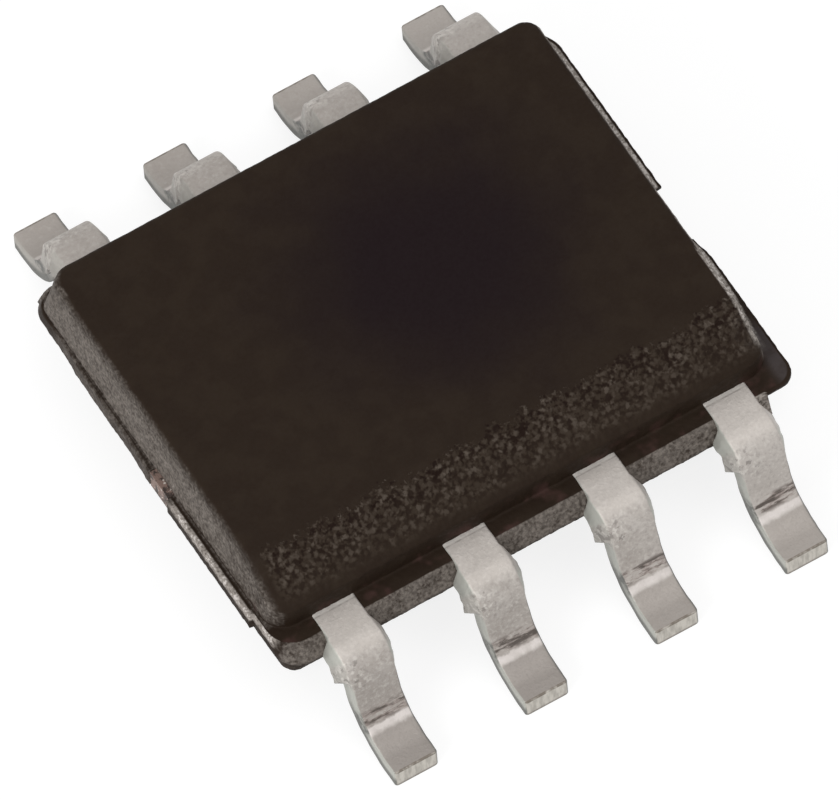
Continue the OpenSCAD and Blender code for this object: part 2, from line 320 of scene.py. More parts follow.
def body_rings():
    """The rings from the top to the underside, each with the name of the zone it belongs to."""
    rings = []

    def add(zone, ring):
        rings.append((zone, ring))

    top_rim = upper_ring(TOP, TOP_EDGE)
    for share in TOP_SHARES:
        add("top", towards_middle(top_rim, share))
    for turn in TOP_TURNS:
        add("edge", upper_ring(TOP - TOP_EDGE * (1 - math.sin(turn)), TOP_EDGE * (1 - math.cos(turn))))
    for z in np.linspace(TOP - TOP_EDGE, BEVEL_LOW, BEVEL_RINGS):
        add("upper", upper_ring(z))
    for z in np.linspace(BEVEL_LOW - UPPER_GAP, LEAD_TOP - WEB_SUNK / 2, WALL_RINGS):
        add("upper", upper_ring(z))
    foot, web_rim = upper_ring(LEAD_TOP), web_ring(0.0, WEB_EDGE)
    for share in LEDGE_SHARES:
        ledge = foot + (web_rim - foot) * share
        ledge[:, 2] = LEAD_TOP - WEB_SUNK
        add("ledge", ledge)
    for turn in WEB_TURNS:
        add("web", web_ring(WEB_ROUND * (1 - math.sin(turn)), WEB_EDGE * (1 - math.cos(turn))))
    for drop in WEB_DROPS:
        add("web", web_ring(drop))
    web_low, wall_top = web_ring(1.0), lower_ring(LEAD_UNDER)
    wall_top[:, 2] = web_low[:, 2]
    for share in UNDER_SHARES:
        add("under", web_low + (wall_top - web_low) * share)
    for z in np.linspace(LEAD_UNDER - LOWER_GAP, BOTTOM + BOTTOM_EDGE, LOWER_RINGS):
        add("lower", lower_ring(z))
    for turn in BOTTOM_TURNS:
        z = BOTTOM + BOTTOM_EDGE * (1 - math.sin(turn))
        add("lower", lower_ring(z, BOTTOM_EDGE * (1 - math.cos(turn))))
    bottom_rim = rings[-1][1]
    for share in BOTTOM_SHARES:
        add("bottom", towards_middle(bottom_rim, share))
    return rings


GRAIN_HEIGHT = {"top": 0.0, "edge": 0.003, "upper": 0.006, "ledge": 0.003, "web": 0.005, "under": 0.004,
                "lower": 0.005, "bottom": 0.0}
BEVEL_GRAIN_HEIGHT = 0.009
GRAIN_SIZE = 0.05
BEVEL_FADE_Y = (-1.5, -1.4)
BEVEL_FOOT_Y = (BEVEL_FOOT - 0.02, BEVEL_FOOT + 0.03)
BEVEL_FOOT_Z = (BEVEL_LOW - 0.02, BEVEL_LOW + 0.03)
BEVEL_ENDS_X = (HALF_LENGTH - 0.2, HALF_LENGTH - 0.1)


def bevel_share(points):
    """1 on the grained bevel and 0 elsewhere."""
    x, y, z = points.T
    top = 1 - ease(*BEVEL_FADE_Y, y - BEVEL_TILT * x)
    foot = ease(*BEVEL_FOOT_Y, y) * ease(*BEVEL_FOOT_Z, z)
    ends = 1 - ease(*BEVEL_ENDS_X, np.abs(x - MOULD_SHIFT))
    return top * foot * ends


# The pale places of the moulding, partly its own paler tone and partly painted light, highlights and
# shade: how pale each is, and where it begins and ends, in millimetres or as the share of a face that
# looks to the left or right
FRONT_HALF_Y = (TIE_Y - 0.3, TIE_Y - 0.1)
FAR_REAR_Y = (1.62, 1.78)
LEFT_WALL_FRONT, LEFT_WALL_MORE, LEFT_WALL_Y = 0.6, 0.34, (-1.7, -0.6)
LEFT_WALL_FACING = (0.15, 0.85)
REAR_LEFT_FACING, REAR_LEFT_Y = (0.0, 0.5), (1.4, 1.7)
REAR_CORNER_X, REAR_CORNER_Y = (-2.0, -2.2), (1.35, 1.6)
WALL_TOP_FADE, CORNER_TOP_FADE, WALL_TOP_Z = 0.63, 0.2, (TOP - 0.24, TOP + 0.01)
WALL_FOOT_Z = (LEAD_TOP - 0.02, LEAD_TOP + 0.03)
LEFT_LINE, LEFT_LINE_X, LEFT_LINE_Y = 2.3, (WEB_END - 0.012, WEB_END + 0.004), (-1.72, -1.62)
WALL_FOOT_X = HALF_LENGTH - MOULD_SHIFT
BY_WALL, BY_WALL_X = 0.5, (WALL_FOOT_X + 0.012, WALL_FOOT_X + 0.035)
LEFT_LEDGE, LEDGE_REAR_FADE = 0.3, 0.6
LEFT_END_X, LEFT_END_Y = (HALF_LENGTH - 0.12, HALF_LENGTH - 0.06), (-1.86, -1.74)
LEFT_WEB, WEB_REAR_FADE, LEFT_WEB_FRONT = 0.5, 0.8, 2.2
UPPER_WEB_Z = (LEAD_UNDER + 0.105, LEAD_UNDER + 0.14)
LEFT_WEB_X, LEFT_WEB_Y = (HALF_LENGTH, HALF_LENGTH + 0.04), (-1.98, -1.88)
# Painted highlights on the right: a line along the rim, one at the bevel's end, and one on the film by the
# wall
RIM_HIGHLIGHT, RIM_FACING = 1.6, (0.6, 0.85)
FRONT_RIM_HIGHLIGHT, FRONT_RIM_FACING, FRONT_RIM_Y = 2.3, (0.25, 0.5), (0.75, 0.95)
BEVEL_END_HIGHLIGHT, BEVEL_LINE_FACING, BEVEL_LINE_PAST = 2.1, (0.4, 0.6), (0.9, 0.98)
BEVEL_LINE_START, BEVEL_LINE_STOP = (1.35, 1.42), (1.66, 1.82)
BEVEL_RIGHT, BEVEL_RIGHT_X = 0.22, (1.95, 2.25)
BEVEL_RIGHT_START, BEVEL_RIGHT_STOP = (1.45, 1.58), (1.76, 1.88)
FILM_LINE_HIGHLIGHT, FILM_PALE, FILM_X, FILM_LINE_Y = 2.7, 0.24, HALF_LENGTH - 0.05, (-1.75, -1.55)
FILM_TRIM, FILM_FRONT_TRIM, FILM_FRONT_Y, FILM_SOFT = 0.024, 0.05, (0.9, 1.6), 0.006
WEB_SIDE_PALE, WEB_CORNER_PALE_AND_LIT, WEB_SIDE_Y = 0.85, 1.6, (WEB_TOP_Y - 0.12, WEB_TOP_Y - 0.04)
UNDER_PALE = 0.3


def left_pale_and_lit(points, normals):
    """How pale the left wall, the ledge at its foot and the left end of the web are: partly their own
    rougher, broken tone, partly painted light from the left, with painted highlights on the web's outer
    edge and painted shade at the wall's foot and along the web's lower edge.
    """
    x, y, z = points.T
    front_half = 1 - ease(*FRONT_HALF_Y, y)
    far_rear = ease(*FAR_REAR_Y, y)
    # Faces that look to the left are painted paler, as light falling on them from the left, over their
    # rougher tone
    leftward = ease(*LEFT_WALL_FACING, -normals[:, 0])
    rear_left = ease(*REAR_LEFT_Y, y) * ease(*REAR_LEFT_FACING, -normals[:, 0])
    wall = np.maximum(leftward, rear_left) * (LEFT_WALL_FRONT + LEFT_WALL_MORE * ease(*LEFT_WALL_Y, y))
    rear_corner = ease(*REAR_CORNER_Y, y) * ease(*REAR_CORNER_X, x)
    wall *= 1 - (WALL_TOP_FADE - CORNER_TOP_FADE * rear_corner) * ease(*WALL_TOP_Z, z)
    # Painted shade: in the front half the wall darkens at its foot
    wall *= 1 - front_half * (1 - ease(*WALL_FOOT_Z, z))
    left_end = ease(*LEFT_END_X, -x) * ease(*LEFT_END_Y, y)
    # The web's outer edge is pale enough here to take a painted highlight
    line = LEFT_LINE * ease(*LEFT_LINE_X, -x) * ease(*LEFT_LINE_Y, y)
    by_wall = BY_WALL * (1 - ease(*BY_WALL_X, -x))
    ledge = LEFT_LEDGE * (1 - LEDGE_REAR_FADE * far_rear)
    ledge = left_end * np.maximum(ledge + (line - ledge) * front_half, by_wall)
    web = LEFT_WEB * (1 - WEB_REAR_FADE * far_rear)
    # In the front half the upper part of the web's end reaches a painted highlight and its lower edge stays
    # dark as painted shade
    web = web + (LEFT_WEB_FRONT * ease(*UPPER_WEB_Z, z) - web) * front_half
    web = web * ease(*LEFT_WEB_X, -x) * ease(*LEFT_WEB_Y, y)
    return wall, ledge, web


def right_painted_highlights(points, normals):
    """How pale the painted highlights along the right rim, at the right end of the bevel and on the film
    beside it are, with the film's own paler tone under them.
    """
    x, y, _ = points.T
    facing = normals[:, 0]
    # Painted highlight along the rounded right rim, reaching further round towards the front
    front_rim_highlight = FRONT_RIM_HIGHLIGHT * ease(*FRONT_RIM_FACING, facing) * ease(*FRONT_RIM_Y, -y)
    rim = np.maximum(RIM_HIGHLIGHT * ease(*RIM_FACING, facing), front_rim_highlight)
    bevel_end_highlight = ease(*BEVEL_LINE_FACING, facing) * (1 - ease(*BEVEL_LINE_PAST, facing))
    bevel_end_highlight *= BEVEL_END_HIGHLIGHT * ease(*BEVEL_LINE_START, -y) * (1 - ease(*BEVEL_LINE_STOP, -y))
    bevel_right = BEVEL_RIGHT * ease(*BEVEL_RIGHT_X, x) * ease(*BEVEL_RIGHT_START, -y)
    bevel_right *= 1 - ease(*BEVEL_RIGHT_STOP, -y)
    # Painted highlight on the film beside the wall, over the film's own paler tone
    limit = WEB_END - FILM_TRIM - FILM_FRONT_TRIM * ease(*FILM_FRONT_Y, -y)
    film = FILM_LINE_HIGHLIGHT * (x > FILM_X) * (1 - ease(limit - FILM_SOFT, limit + FILM_SOFT, x))
    film *= ease(*FILM_LINE_Y, y)
    return rim, np.maximum(bevel_end_highlight, bevel_right), np.maximum(film, FILM_PALE * (x > FILM_X))


def pale_and_lit_share(points, normals, zone):
    """How pale the moulding is: the left wall and the broken edge of the web are, partly as painted light,
    and the right rim and film carry painted highlights; the rest is dark.
    """
    x, y, _ = points.T
    left_wall, left_ledge, left_web = left_pale_and_lit(points, normals)
    rim, bevel_end_highlight, film = right_painted_highlights(points, normals)
    # The web's broken edge is paler; beyond the last lead it is painted paler still, as light on a place
    # that lies in shade
    web_side = ease(*WEB_SIDE_Y, np.abs(y)) * (x < STOP_X)
    web_side = web_side * np.where(x > ROW_END, WEB_CORNER_PALE_AND_LIT, WEB_SIDE_PALE)
    shares = {"edge": np.maximum(left_wall, rim), "upper": np.maximum(left_wall, bevel_end_highlight),
              "ledge": np.maximum(left_ledge, film), "web": np.maximum(web_side, left_web),
              "under": UNDER_PALE, "lower": UNDER_PALE}
    return np.select([zone == name for name in shares], list(shares.values()), 0.0)


RUSTY_Y = (-1.6, -1.3)
THIN_FILM_X, THIN_FILM_Y = (HALF_LENGTH - 0.12, HALF_LENGTH), (1.3, 1.55)


def make_body():
    zones, rings = zip(*body_rings())
    points = np.concatenate(rings)
    zone = np.repeat(np.array(zones), len(rings[0]))
    body = mesh_piece("moulded_body", points, loft(rings))
    normals = np.zeros(len(points) * 3)
    body.data.vertices.foreach_get("normal", normals)
    normals = normals.reshape(-1, 3)

    bevel = bevel_share(points)
    height = np.array([GRAIN_HEIGHT[name] for name in zone])
    height = np.maximum(height * (1 - bevel), BEVEL_GRAIN_HEIGHT * bevel)
    raised = points + normals * (height * lumps(points, GRAIN_SIZE))[:, None]
    body.data.vertices.foreach_set("co", (raised * MM).ravel())
    body.data.update()

    # The pale attribute holds the moulding's paler tones together with its painted light and highlights
    attribute(body, "pale", pale_and_lit_share(points, normals, zone))
    low_wall = np.isin(zone, ["upper", "ledge"]) * (1 - ease(LEAD_TOP, BEVEL_LOW, points[:, 2]))
    attribute(body, "rusty", low_wall * (1 - ease(*RUSTY_Y, points[:, 1])))
    right_film = (zone == "ledge") * ease(*THIN_FILM_X, points[:, 0])
    attribute(body, "film", right_film * ease(*THIN_FILM_Y, -points[:, 1]))
    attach(body, "root")
    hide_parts("mould_body")
    return body


# The leads: a rounded strip that follows the bent path of a stamped lead
SECTION_STEPS = 4
SIDE_STEPS = 7
LEAD_EDGE = 0.018
TIP_EDGE = 0.014
TIP_CORNER = 0.03
STUB_UPPER_WIDTH = 0.42
STUB_LOWER_WIDTH = 0.585
STUB_SKEW = 0.13
STUB_JAG, SIDE_JAG = 0.009, 0.004
JAG_SIZE, JAG_DEPTH = 0.11, 0.25
JAG_ROUGHNESS, JAG_OCTAVES, JAG_SIDE_STEP = 0.8, 1, 3
JAG_UPPER, JAG_LOWER_MORE = 0.3, 0.7
STUB_RISE, STUB_SOFT = (-0.03, 0.01), 0.02
SIDE_RISE = (0.06, 0.02)
FOOT_TURN_START = 0.05
EXIT_Y = (1.84, 1.86)
EXIT_STATIONS, FLAT_STATIONS, SHOULDER_STATIONS, LEG_STATIONS = 4, 22, 24, 18
HEEL_STATIONS, FOOT_STATIONS = 44, 6
TIP_TURNS = np.radians(np.linspace(12, 90, 6))
SHARP_ANGLE = math.radians(50)
DRAIN_SEED, SOURCE_SEED, GATE_SEED = 11.0, 21.0, 31.0
# The length from the tip that stands for the flat stretches inside the moulding
HIDDEN = 9.0


def lead_path(start, spread, tip_out):
    """Middle line of a lead in Y and Z with the direction of its upper face, from start to its tip."""
    half = LEAD_THICKNESS / 2
    shoulder_y = WEB_FLARED + SHOULDER_FLAT + spread
    heel_y = TIP + spread - FOOT_LENGTH
    tip_y = TIP + spread + tip_out
    stations = []

    def bend(centre, radius, first, last, steps, outward):
        for angle in np.linspace(first, last, steps):
            ray = np.array([math.cos(angle), math.sin(angle)])
            stations.append((*(np.array(centre) + radius * ray), *(outward * ray)))

    inside = np.linspace(start, EXIT_Y[0], EXIT_STATIONS)
    outside = np.linspace(EXIT_Y[1], shoulder_y, FLAT_STATIONS)[:-1]
    for y in np.concatenate([inside, outside]):
        stations.append((y, LEAD_TOP - half, 0.0, 1.0))
    shoulder = (shoulder_y, LEAD_UNDER - SHOULDER_RADIUS)
    heel = (heel_y, LEAD_THICKNESS + HEEL_RADIUS)
    bend(shoulder, SHOULDER_RADIUS + half, math.pi / 2, LEG_LEAN, SHOULDER_STATIONS, 1.0)
    shoulder_end = np.array(stations[-1])
    first_heel = math.pi + LEG_LEAN
    heel_ray = np.array([math.cos(first_heel), math.sin(first_heel)])
    heel_start = np.array(heel) + (HEEL_RADIUS + half) * heel_ray
    for share in np.linspace(0, 1, LEG_STATIONS)[1:-1]:
        spot = shoulder_end[:2] + (heel_start - shoulder_end[:2]) * share
        stations.append((*spot, *shoulder_end[2:]))
    bend(heel, HEEL_RADIUS + half, first_heel, 1.5 * math.pi, HEEL_STATIONS, -1.0)
    for y in np.linspace(heel_y, tip_y - TIP_CORNER, FOOT_STATIONS)[1:]:
        stations.append((y, half, 0.0, 1.0))
    for turn in TIP_TURNS:
        stations.append((tip_y - TIP_CORNER * (1 - math.sin(turn)), half, 0.0, 1.0))
    return np.array(stations)


def section(half_width, half_height, radius):
    """A rounded rectangle across a lead, as offsets along X and along the upper face's direction."""
    rounds = []
    for turn, (sx, sy) in enumerate(((1, 1), (-1, 1), (-1, -1), (1, -1))):
        angles = np.radians(np.linspace(90 * turn, 90 * turn + 90, SECTION_STEPS))
        centre = (sx * (half_width - radius), sy * (half_height - radius))
        rounds.append(np.array(centre) + radius * np.column_stack([np.cos(angles), np.sin(angles)]))
    parts = []
    for turn, arc in enumerate(rounds):
        following = rounds[(turn + 1) % 4][0]
        shares = np.linspace(0, 1, SIDE_STEPS + 2)[1:-1]
        parts += [arc, arc[-1] + np.outer(shares, following - arc[-1])]
    return np.concatenate(parts)


def rounded_end(left, radius):
    """How far a side draws in, where so much is left before a rounded end."""
    depth = max(0.0, 1 - left / radius)
    return radius * (1 - math.sqrt(max(0.0, 1 - depth * depth)))


def lead_points(x, side, start, seed):
    """Rings of points along one lead, with each ring's length from the tip and each point's share of the
    thickness below the upper face; side is 1 for the rear row."""
    spread, tip_out, stub_shift, foot_shift = REAR_LEADS if side > 0 else FRONT_LEADS
    path = lead_path(start, spread, tip_out)
    steps = np.linalg.norm(np.diff(path[:, :2], axis=0), axis=1)
    lengths = np.concatenate([[0], np.cumsum(steps)])
    stub_start = WEB_FLARED - start
    bend = (math.pi / 2 - LEG_LEAN) * (SHOULDER_RADIUS + LEAD_THICKNESS / 2)
    stub_end = stub_start + SHOULDER_FLAT + spread + bend
    rings, depths = [], []
    for (y, z, ny, nz), at in zip(path, lengths):
        past = ease(stub_end - STUB_SOFT, stub_end + STUB_SOFT, at)
        width = EXIT_WIDTH + (FOOT_WIDTH - EXIT_WIDTH) * past
        ring = section(width / 2 - rounded_end(lengths[-1] - at, TIP_CORNER),
                       LEAD_THICKNESS / 2 - rounded_end(lengths[-1] - at, TIP_EDGE), LEAD_EDGE)
        across, height = ring.T
        below = 0.5 - height / LEAD_THICKNESS
        skewed = at - STUB_SKEW * below
        stub = ease(stub_start + STUB_RISE[0], stub_start + STUB_RISE[1], at)
        stub = stub * (1 - ease(stub_end - STUB_SOFT, stub_end + STUB_SOFT, skewed))
        by_side = ease(width / 2 - SIDE_RISE[0], width / 2 - SIDE_RISE[1], np.abs(across))
        sides = np.sign(across) * by_side
        stub_width = STUB_UPPER_WIDTH + (STUB_LOWER_WIDTH - STUB_UPPER_WIDTH) * below
        spots = [Vector((JAG_SIDE_STEP * np.sign(s) + seed, at / JAG_SIZE, h / JAG_DEPTH))
                 for s, h in zip(sides, height)]
        ragged = np.array([noise.fractal(spot, JAG_ROUGHNESS, OCTAVE_STEP, JAG_OCTAVES) for spot in spots])
        jag = (STUB_JAG * stub * (JAG_UPPER + JAG_LOWER_MORE * below) + SIDE_JAG) * ragged
        across = across + sides * (stub * (stub_width - width) / 2 + jag)
        to_foot = ease(stub_end - FOOT_TURN_START, lengths[-1] - 2 * FOOT_LENGTH, at)
        shift = stub_shift + (foot_shift - stub_shift) * to_foot
        rings.append(np.column_stack([x + shift + across, side * (y + ny * height), z + nz * height]))
        depths.append(below)
    if side > 0:
        rings = [ring[::-1] for ring in rings]
        depths = [depth[::-1] for depth in depths]
    return rings, lengths[-1] - lengths, np.concatenate(depths)


def block(low, high):
    """A plain closed block, for a flat stretch of the lead frame inside the moulding."""
    corners = np.array([(x, y, z) for x in (low[0], high[0]) for y in (low[1], high[1])
                        for z in (low[2], high[2])])
    faces = [(0, 1, 3, 2), (4, 6, 7, 5), (0, 4, 5, 1), (2, 3, 7, 6), (0, 2, 6, 4), (1, 5, 7, 3)]
    return corners, faces


def make_leads(name, node, leads, blocks):
    """One stamped piece: some bent leads and the flat stretches that join them inside."""
    points, faces, from_tip, across, below = [], [], [], [], []

    def add(more_points, more_faces, tip_lengths, offsets, depths):
        first = sum(len(p) for p in points)
        points.append(more_points)
        faces.extend(tuple(first + i for i in face) for face in more_faces)
        from_tip.append(tip_lengths)
        across.append(offsets)
        below.append(depths)

    for x, side, start, seed in leads:
        rings, tip_lengths, depths = lead_points(x, side, start, seed)
        lead = np.concatenate(rings)
        add(lead, loft(rings), np.repeat(tip_lengths, len(rings[0])), lead[:, 0] - x, depths)
    for low, high in blocks:
        corners, sides = block(low, high)
        add(corners, sides, np.full(len(corners), HIDDEN), np.zeros(len(corners)), np.zeros(len(corners)))
    piece = mesh_piece(name, np.concatenate(points), faces, SHARP_ANGLE)
    attribute(piece, "from_tip", np.concatenate(from_tip))
    attribute(piece, "across", np.concatenate(across))
    attribute(piece, "below", np.concatenate(below))
    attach(piece, "root")
    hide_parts(node)
    return piece


def make_lead_frames():
    bar_out = HALF_WIDTH - BAR_COVER
    bar_in = bar_out - BAR_DEPTH
    bar_mid = (bar_in + bar_out) / 2
    paddle_front, paddle_back = DRAIN_LOW[1], HALF_WIDTH - PADDLE_REAR_COVER
    paddle_mid = (paddle_front + paddle_back) / 2
    tie_left, tie_right = -DRAIN_HIGH[0] - TIE_LEFT_OUT, DRAIN_HIGH[0] - TIE_TRIM
    tie_low, tie_high = TIE_Y - TIE_WIDTH / 2, TIE_Y + TIE_WIDTH / 2
    bar_right = LEAD_X[-2] + EXIT_WIDTH / 2
    drain = make_leads(
        "drain_leads", "drain_frame", [(x, 1, paddle_mid, DRAIN_SEED + i) for i, x in enumerate(LEAD_X)],
        [((-ROW_END, paddle_front, LEAD_UNDER), (ROW_END, paddle_back, LEAD_TOP)),
         ((tie_left, tie_low, LEAD_UNDER), (tie_right, tie_high, LEAD_TOP))])
    source = make_leads(
        "source_leads", "source_frame",
        [(x, -1, bar_mid, SOURCE_SEED + i) for i, x in enumerate(LEAD_X[:-1])],
        [((-ROW_END, -bar_out, LEAD_UNDER), (bar_right, -bar_in, LEAD_TOP))])
    gate = make_leads(
        "gate_lead_bent", "gate_lead", [(LEAD_X[-1], -1, bar_mid, GATE_SEED)],
        [((GATE_LOW[0], -bar_out, LEAD_UNDER), (ROW_END, -bar_in, LEAD_TOP))])
    return drain, source, gate


# Materials
def new_material(name):
    material = bpy.data.materials.new(name)
    material.use_nodes = True
    material.node_tree.nodes.clear()
    return material, material.node_tree


def add_node(tree, kind, inputs=None, **settings):
    """A shader node with its settings, and its inputs given as values or as other nodes' outputs."""
    made = tree.nodes.new("ShaderNode" + kind)
    for key, value in settings.items():
        setattr(made, key, value)
    for key, value in (inputs or {}).items():
        if isinstance(value, bpy.types.NodeSocket):
            tree.links.new(value, made.inputs[key])
        else:
            made.inputs[key].default_value = value
    return made


def millimetres(tree):
    """Places on the object in millimetres, for textures of a known size."""
    places = add_node(tree, "TexCoord").outputs["Object"]
    return add_node(tree, "VectorMath", {0: places, "Scale": 1 / MM}, operation="SCALE").outputs[0]


def texture(tree, places, per_mm, detail=3.0, roughness=0.6):
    """A noise with so many waves to the millimetre."""
    inputs = {"Vector": places, "Scale": per_mm, "Detail": detail, "Roughness": roughness}
    return add_node(tree, "TexNoise", inputs).outputs["Fac"]


def remap(tree, value, low, high, to_low=0.0, to_high=1.0):
    """A smooth climb from to_low to to_high while the value goes from low to high."""
    return add_node(tree, "MapRange", {"Value": value, "From Min": low, "From Max": high, "To Min": to_low,
                                       "To Max": to_high}, interpolation_type="SMOOTHSTEP").outputs[0]


def math_of(tree, operation, first, second):
    return add_node(tree, "Math", {0: first, 1: second}, operation=operation).outputs[0]


def blend(tree, share, first, second):
    mixed = add_node(tree, "Mix", {"Factor": share}, data_type="RGBA")
    for slot, value in ((6, first), (7, second)):
        if isinstance(value, bpy.types.NodeSocket):
            tree.links.new(value, mixed.inputs[slot])
        else:
            mixed.inputs[slot].default_value = (*value, 1.0)
    return mixed.outputs[2]


def product(tree, *shares):
    """The product of some shares, each a socket, or a socket with its range for remap."""
    result = None
    for share in shares:
        socket = remap(tree, share[0], *share[1]) if isinstance(share, tuple) else share
        result = socket if result is None else math_of(tree, "MULTIPLY", result, socket)
    return result


def paint(tree, colour, *layers):
    """Lays shades over a colour, one after another, each as strongly as the product of its shares says."""
    for shade, *shares in layers:
        colour = blend(tree, product(tree, *shares), colour, shade)
    return colour


def band(tree, value, low, high, soft):
    """1 between two limits and 0 outside them, with soft borders."""
    return math_of(tree, "MULTIPLY", remap(tree, value, low - soft, low + soft),
                   remap(tree, value, high + soft, high - soft))


def read(tree, name):
    return add_node(tree, "Attribute", attribute_name=name).outputs["Fac"]


def finish_surface(tree, inputs):
    surface = add_node(tree, "BsdfPrincipled", inputs)
    output = add_node(tree, "OutputMaterial")
    tree.links.new(surface.outputs[0], output.inputs["Surface"])


COMPOUND, COMPOUND_DEEP = (0.0165, 0.0096, 0.0056), (0.0075, 0.003, 0.0038)
MOTTLE = (0.0195, 0.012, 0.0072)
DEEP_SPOT = (0.35, 0.25, TOP)
# The bevel's grain: its crevices are painted in shade and the tops of its bumps carry painted highlights,
# over the grain's own tone
GRAIN_CREVICE_SHADE, GRAIN = (0.0065, 0.0016, 0.0002), (0.026, 0.0172, 0.0112)
GRAIN_TOP_HIGHLIGHT = (0.089, 0.071, 0.057)
FILM = (0.05, 0.041, 0.04)
WALL_DARK, WALL_PALE = (0.09, 0.077, 0.067), (0.17, 0.148, 0.13)
STRIP, GLINT = (0.28, 0.25, 0.225), (0.55, 0.51, 0.48)
RUST = (0.06, 0.03, 0.026)
STIR, STIR_PER_MM, CELLS_PER_MM = (0.03, 0.03, 0.03), 36.0, 19.0
MOULD_SPECULAR, MOULD_BUMP, MOULD_BUMP_HEIGHT = 0.1, 0.7, 0.012
BEVEL_BORDER = -1.435
GRAIN_LEFT, GRAIN_RIGHT = MOULD_SHIFT - HALF_LENGTH + 0.17, MOULD_SHIFT + HALF_LENGTH - 0.02
GRAIN_END_SOFT = 0.04
# Ranges for remap: a value's low and high, then the result's where they aren't 0 and 1
DEEP_REACH, MOTTLED, RUST_SPOTS = (2.4, 0.9), (0.4, 0.62), (0.5, 0.68, 0.0, 0.7)
BORDER_WAVES, BORDER_BUMPS = (0.2, 0.8, -0.07, 0.07), (0.2, 0.8, -0.06, 0.06)
GRAIN_TOP_Y = (BEVEL_BORDER + 0.02, BEVEL_BORDER - 0.02)
GRAIN_FOOT_Y, GRAIN_FOOT_Z = (BEVEL_FOOT, BEVEL_FOOT + 0.12), (BEVEL_LOW, BEVEL_LOW + 0.08)
GRAIN_STRENGTH, GRAIN_RIPPLES = (BEVEL_FOOT, BEVEL_BORDER, 0.5, 1.0), (0.35, 0.65, 0.75, 1.0)
CHIPPED, CREVICES = (0.3, 0.7, -0.25, 0.25), (0.85, 0.45)
LIT_TOPS, LIT_TONES = (0.62, 0.1), (0.0, 1.0, 0.1, 0.9)
GRAIN_RISE, FINE_RISE = (0.85, 0.15), (0.2, 0.8, 0.0, 0.12)
PALE_FINE, PALE_RIPPLES, PALE_PEBBLES = (0.2, 0.8, 0.4, 1.55), (0.3, 0.7, 0.75, 1.2), (0.3, 0.7)
TO_WALL, TO_STRIP, TO_GLINT = (0.1, 1.0), (1.2, 1.8), (2.2, 3.0)
FILM_RIPPLES, MOULD_ROUGHNESS = (0.3, 0.7, 0.6, 1.0), (0.2, 0.8, 0.55, 0.75)


def grain_cells(tree, places):
    """How far each place lies below the top of its bump in the bevel's grain, and that bump's own tone."""
    stir = add_node(tree, "TexNoise", {"Vector": places, "Scale": STIR_PER_MM, "Detail": 1.0})
    stirred = add_node(tree, "VectorMath", {0: stir.outputs["Color"], 1: STIR, 2: places},
                       operation="MULTIPLY_ADD").outputs[0]
    cells = add_node(tree, "TexVoronoi", {"Vector": stirred, "Scale": CELLS_PER_MM}, feature="F1").outputs
    tone = add_node(tree, "SeparateXYZ", {0: cells["Color"]}).outputs["X"]
    chips = texture(tree, places, per_mm=24.0, detail=1.0)
    return math_of(tree, "ADD", cells["Distance"], remap(tree, chips, *CHIPPED)), tone


def grained_share(tree, split, patches, pebbles):
    """1 on the grained bevel, with a ragged upper border, and 0 elsewhere."""
    tilt = math_of(tree, "MULTIPLY", split["X"], BEVEL_TILT)
    border = math_of(tree, "SUBTRACT", split["Y"], tilt)
    border = math_of(tree, "ADD", border, remap(tree, patches, *BORDER_WAVES))
    border = math_of(tree, "ADD", border, remap(tree, pebbles, *BORDER_BUMPS))
    return product(tree, (border, GRAIN_TOP_Y), (split["Y"], GRAIN_FOOT_Y), (split["Z"], GRAIN_FOOT_Z),
                   band(tree, split["X"], GRAIN_LEFT, GRAIN_RIGHT, GRAIN_END_SOFT))


